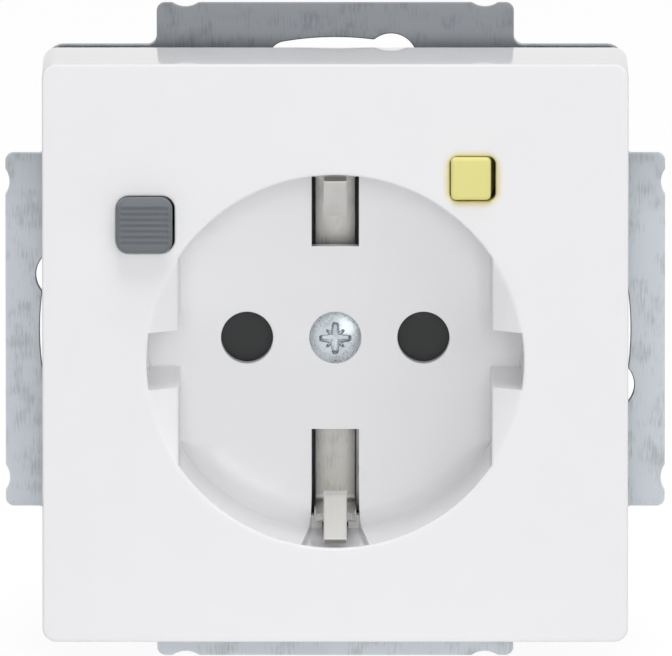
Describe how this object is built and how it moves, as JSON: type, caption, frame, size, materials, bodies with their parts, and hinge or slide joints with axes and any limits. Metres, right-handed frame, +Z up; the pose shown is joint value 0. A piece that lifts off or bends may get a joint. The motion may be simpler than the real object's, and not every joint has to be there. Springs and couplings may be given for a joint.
{
  "type": "residual current device socket",
  "caption": "Flush earthed wall socket with a round recess, side earth clips, push-to-reset and test buttons, on a steel support ring with a residual current module behind it.",
  "frame": {"origin": "on the wall plane, in the middle of the support ring's rear face", "axes": "+X right and +Z up as seen from the room, +Y into the wall, so the cover has negative Y"},
  "size_m": [0.071, 0.0527, 0.071],
  "materials": {
    "white_gloss": "glossy",
    "reset_grey": "satin",
    "test_yellow": "glossy",
    "galvanised_steel": "galvanised, streaked",
    "zinc_steel": "zinc plated",
    "nickel_spring": "nickel plated",
    "spring_steel": "bright wire",
    "shutter_black": "matt",
    "shell_grey": "fine matt",
    "carrier_cream": "matt",
    "brass": "bright",
    "copper": "bright",
    "silver_tip": "bright",
    "core_steel": "resin coated",
    "coil_wire": "enamelled",
    "bobbin_white": "matt",
    "resistor_body": "lacquered"
  },
  "bodies": {
    "socket_body": {"cover_plate": "white_gloss", "cover_screw": "zinc_steel", "support_ring": "galvanised_steel", "earth_bracket": "nickel_spring", "shutter_spring": "spring_steel", "reset_spring": "spring_steel", "test_spring": "spring_steel", "front_shell": "shell_grey", "rear_shell": "shell_grey", "ring_screws": "zinc_steel", "shell_screws": "zinc_steel", "contact_carrier": "carrier_cream", "line_pin_contact": "brass", "neutral_pin_contact": "brass", "line_terminal": "brass", "neutral_terminal": "brass", "earth_terminal": "brass", "terminal_screws": "zinc_steel", "line_bar": "copper", "neutral_bar": "copper", "earth_link": "nickel_spring", "transformer_core": "core_steel", "transformer_winding": "coil_wire", "rocker_pin": "zinc_steel", "rocker_spring": "spring_steel", "fixed_tips": "silver_tip", "line_lead": "copper", "neutral_lead": "copper", "relay_yoke": "zinc_steel", "relay_core": "zinc_steel", "relay_bobbin": "bobbin_white", "relay_coil": "coil_wire", "armature_pin": "spring_steel", "latch_pin": "zinc_steel", "latch_spring": "spring_steel", "test_leaf": "spring_steel", "test_resistor": "resistor_body"},
    "reset_push": {"reset_button": "reset_grey"},
    "rocker_set": {"contact_rocker": "carrier_cream", "line_moving_contact": "copper", "neutral_moving_contact": "copper", "moving_tips": "silver_tip"},
    "test_push": {"test_button": "test_yellow"},
    "shutter_rotor": {"shutter": "shutter_black"},
    "armature_set": {"relay_armature": "zinc_steel"},
    "latch_set": {"latch_lever": "shutter_black"}
  },
  "joints": [
    {"name": "reset_press", "type": "slide", "parent": "socket_body", "child": "reset_push", "axis": [0, 1, 0], "range_m": [0, 0.002], "stiffness_N_per_m": 400, "springref_m": -0.003, "deforming": ["reset_spring"]},
    {"name": "contact_turn", "type": "hinge", "parent": "socket_body", "child": "rocker_set", "pos_m": [-0.01, 0.01406, 0.0124], "axis": [0, 0, -1], "range_deg": [0, 10.9], "deforming": ["rocker_spring", "line_lead", "neutral_lead"]},
    {"name": "test_press", "type": "slide", "parent": "socket_body", "child": "test_push", "axis": [0, 1, 0], "range_m": [0, 0.0012], "stiffness_N_per_m": 300, "springref_m": -0.002, "deforming": ["test_spring", "test_leaf"]},
    {"name": "shutter_turn", "type": "hinge", "parent": "socket_body", "child": "shutter_rotor", "pos_m": [0, 0.00305, -0.0011], "axis": [0, -1, 0], "range_deg": [0, 42], "stiffness_Nm_per_rad": 0.0015, "springref_deg": -11.46, "deforming": ["shutter_spring"]},
    {"name": "relay_trip", "type": "hinge", "parent": "socket_body", "child": "armature_set", "pos_m": [0.01325, 0.02006, 0.012], "axis": [0, 0, 1], "range_deg": [0, 5], "stiffness_Nm_per_rad": 0.01, "springref_deg": -11.46},
    {"name": "latch_turn", "type": "hinge", "parent": "socket_body", "child": "latch_set", "pos_m": [0.0115, 0.01556, 0.0125], "axis": [0, 0, 1], "range_deg": [0, 6.61], "deforming": ["latch_spring"]}
  ],
  "couplings": [
    {"joint": "contact_turn", "follows": "reset_press", "rad_per_m": 95},
    {"joint": "latch_turn", "follows": "relay_trip", "ratio": 1.32}
  ]
}
